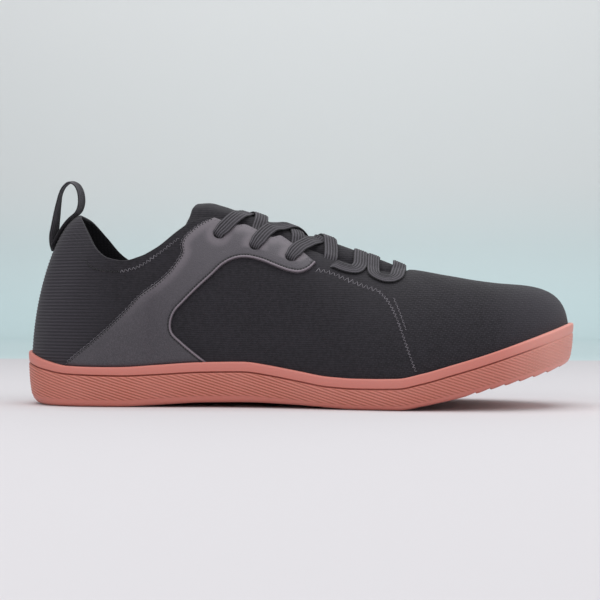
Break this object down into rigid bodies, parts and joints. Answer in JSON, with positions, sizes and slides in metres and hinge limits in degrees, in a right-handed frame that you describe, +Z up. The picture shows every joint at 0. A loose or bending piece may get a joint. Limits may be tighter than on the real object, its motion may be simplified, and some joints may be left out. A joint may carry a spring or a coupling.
{
  "type": "barefoot shoe",
  "caption": "Low left barefoot shoe: dark knitted upper with leather eyestays, flat laces and a heel pull loop on a thin gum rubber cup sole with toe spring.",
  "frame": {"origin": "bottom centre of the shoe's bounding box, on the floor it stands on", "axes": "+X from the heel to the toe, +Y to the outer side of the foot, +Z up"},
  "size_m": [0.28, 0.104, 0.1157],
  "materials": {
    "gum_rubber": "matt gum rubber with a soft sheen",
    "black_textile": "dull black lining textile",
    "black_knit": "black ribbed knit",
    "grey_black_leather": "satin charcoal synthetic leather",
    "charcoal_webbing": "dark charcoal flat woven webbing"
  },
  "bodies": {
    "root": {"outsole": "gum_rubber", "insole": "black_textile", "upper": "black_knit", "tongue": "black_knit", "eyestay_inner": "grey_black_leather", "eyestay_outer": "grey_black_leather", "lace_crossing_1": "charcoal_webbing", "lace_crossing_2": "charcoal_webbing", "lace_crossing_3": "charcoal_webbing", "lace_ring": "charcoal_webbing", "pull_loop": "charcoal_webbing"}
  },
  "joints": []
}
